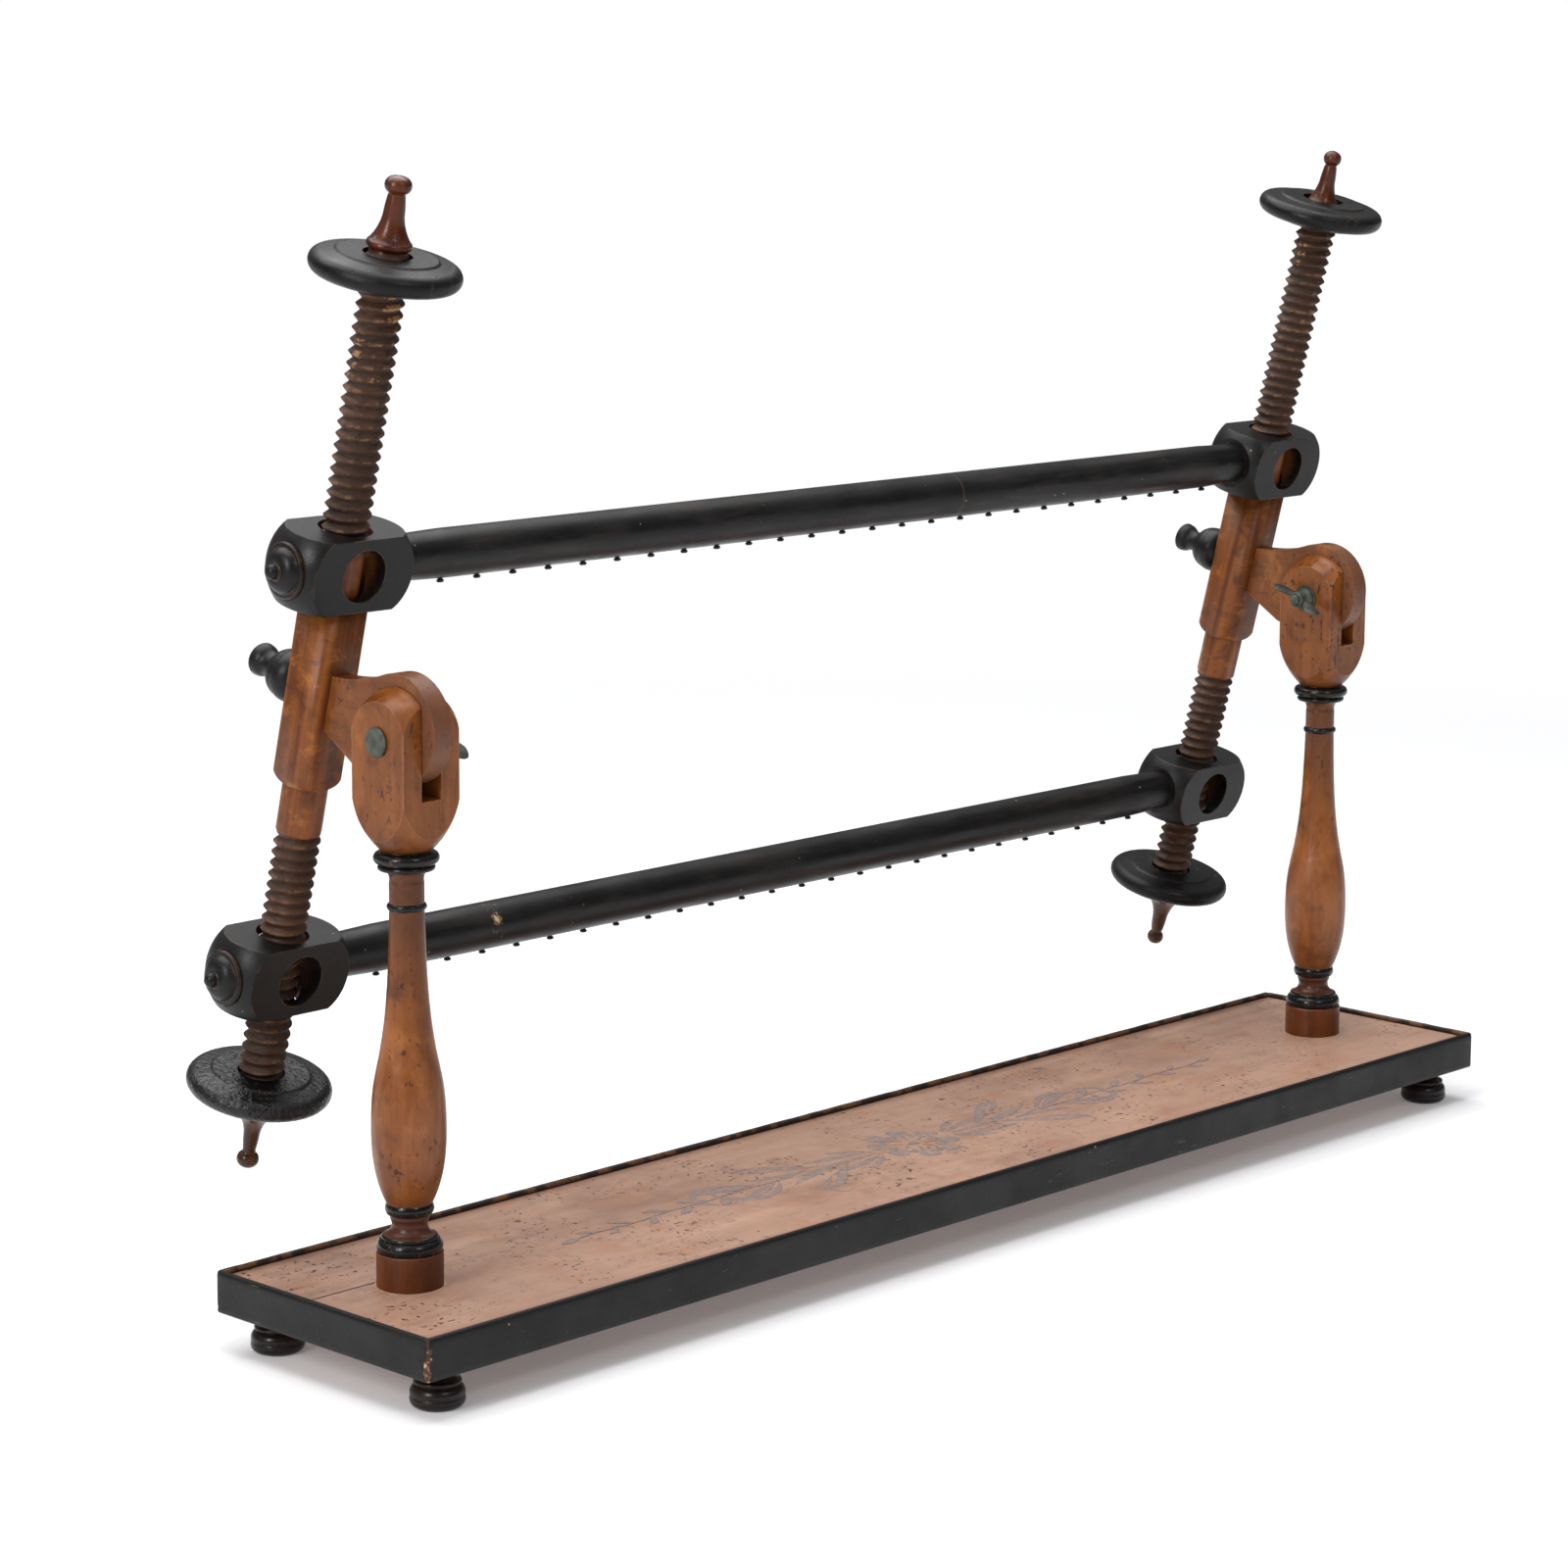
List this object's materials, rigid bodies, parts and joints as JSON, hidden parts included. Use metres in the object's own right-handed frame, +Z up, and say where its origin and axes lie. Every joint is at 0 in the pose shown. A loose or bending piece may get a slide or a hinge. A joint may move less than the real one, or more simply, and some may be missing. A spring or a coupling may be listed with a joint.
{
  "type": "adjustable embroidery frame loom",
  "caption": "Turned wooden table loom for embroidery: plinth base, forked posts, tilting screw stiles, two sliding rollers, disc nuts and wing nuts.",
  "frame": {"origin": "middle of the whole frame's footprint, on the surface that the four feet stand on", "axes": "+X along the rollers and the base, towards the right-hand post; +Z up; -Y towards the side that the stiles' tops lean to, so the rollers are on the +Y side of the posts"},
  "size_m": [0.84, 0.2264, 0.5696],
  "materials": {
    "board_wood": "gloss varnish",
    "post_wood": "polished",
    "plinth_wood": "polished",
    "screw_wood": "matt, worn",
    "ebonised_wood": "satin black",
    "foot_wood": "satin",
    "patinated_metal": "dull grey-green patina",
    "nail_metal": "blackened"
  },
  "bodies": {
    "stand": {"base_board": "board_wood", "front_edging": "ebonised_wood", "back_edging": "ebonised_wood", "left_edging": "ebonised_wood", "right_edging": "ebonised_wood", "front_left_foot": "foot_wood", "front_right_foot": "foot_wood", "back_left_foot": "foot_wood", "back_right_foot": "foot_wood", "left_plinth": "plinth_wood", "right_plinth": "plinth_wood", "left_post": "post_wood", "right_post": "post_wood", "left_pivot_bolt": "patinated_metal", "right_pivot_bolt": "patinated_metal", "left_pivot_washer": "patinated_metal", "right_pivot_washer": "patinated_metal"},
    "left_side": {"left_arm": "post_wood", "left_stile": "screw_wood"},
    "right_side": {"right_arm": "post_wood", "right_stile": "screw_wood"},
    "left_wing_nut": {"left_wing_nut": "patinated_metal"},
    "right_wing_nut": {"right_wing_nut": "patinated_metal"},
    "left_rear_knob": {"left_rear_knob": "ebonised_wood"},
    "right_rear_knob": {"right_rear_knob": "ebonised_wood"},
    "upper_roller": {"upper_roller_bar": "ebonised_wood", "upper_roller_pins": "nail_metal", "upper_left_block": "ebonised_wood", "upper_right_block": "ebonised_wood", "upper_left_end_button": "ebonised_wood", "upper_right_end_button": "ebonised_wood"},
    "lower_roller": {"lower_roller_bar": "ebonised_wood", "lower_roller_pins": "nail_metal", "lower_left_block": "ebonised_wood", "lower_right_block": "ebonised_wood", "lower_left_end_button": "ebonised_wood", "lower_right_end_button": "ebonised_wood"},
    "upper_left_disc_nut": {"upper_left_disc_nut": "ebonised_wood"},
    "upper_right_disc_nut": {"upper_right_disc_nut": "ebonised_wood"},
    "lower_left_disc_nut": {"lower_left_disc_nut": "ebonised_wood"},
    "lower_right_disc_nut": {"lower_right_disc_nut": "ebonised_wood"}
  },
  "joints": [
    {"name": "left_tilt", "type": "hinge", "parent": "stand", "child": "left_side", "pos_m": [-0.3624, -0.03524, 0.3055], "axis": [1, 0, 0], "range_deg": [-12, 60]},
    {"name": "right_tilt", "type": "hinge", "parent": "stand", "child": "right_side", "pos_m": [0.3624, -0.03524, 0.3055], "axis": [1, 0, 0], "range_deg": [-12, 60]},
    {"name": "upper_roller_slide", "type": "slide", "parent": "left_side", "child": "upper_roller", "axis": [0, -0.2419, 0.9703], "range_m": [0, 0.12]},
    {"name": "lower_roller_slide", "type": "slide", "parent": "left_side", "child": "lower_roller", "axis": [0, -0.2419, 0.9703], "range_m": [-0.0375, 0.0755]},
    {"name": "upper_left_disc_nut_slide", "type": "slide", "parent": "left_side", "child": "upper_left_disc_nut", "axis": [0, -0.2419, 0.9703], "range_m": [-0.1195, 0]},
    {"name": "upper_right_disc_nut_slide", "type": "slide", "parent": "right_side", "child": "upper_right_disc_nut", "axis": [0, -0.2419, 0.9703], "range_m": [-0.128, 0]},
    {"name": "lower_left_disc_nut_slide", "type": "slide", "parent": "left_side", "child": "lower_left_disc_nut", "axis": [0, -0.2419, 0.9703], "range_m": [0, 0.0375]},
    {"name": "lower_right_disc_nut_slide", "type": "slide", "parent": "right_side", "child": "lower_right_disc_nut", "axis": [0, -0.2419, 0.9703], "range_m": [0, 0.0375]},
    {"name": "left_wing_nut_turn", "type": "hinge", "parent": "stand", "child": "left_wing_nut", "pos_m": [-0.3624, -0.03524, 0.3055], "axis": [1, 0, 0], "continuous": true},
    {"name": "left_rear_knob_turn", "type": "hinge", "parent": "left_side", "child": "left_rear_knob", "pos_m": [-0.3624, 0.02676, 0.32096], "axis": [0, 0.9703, 0.2419], "continuous": true},
    {"name": "right_wing_nut_turn", "type": "hinge", "parent": "stand", "child": "right_wing_nut", "pos_m": [0.3624, -0.03524, 0.3055], "axis": [1, 0, 0], "continuous": true},
    {"name": "right_rear_knob_turn", "type": "hinge", "parent": "right_side", "child": "right_rear_knob", "pos_m": [0.3624, 0.02676, 0.32096], "axis": [0, 0.9703, 0.2419], "continuous": true}
  ],
  "couplings": [
    {"joint": "right_tilt", "follows": "left_tilt", "ratio": 1}
  ]
}
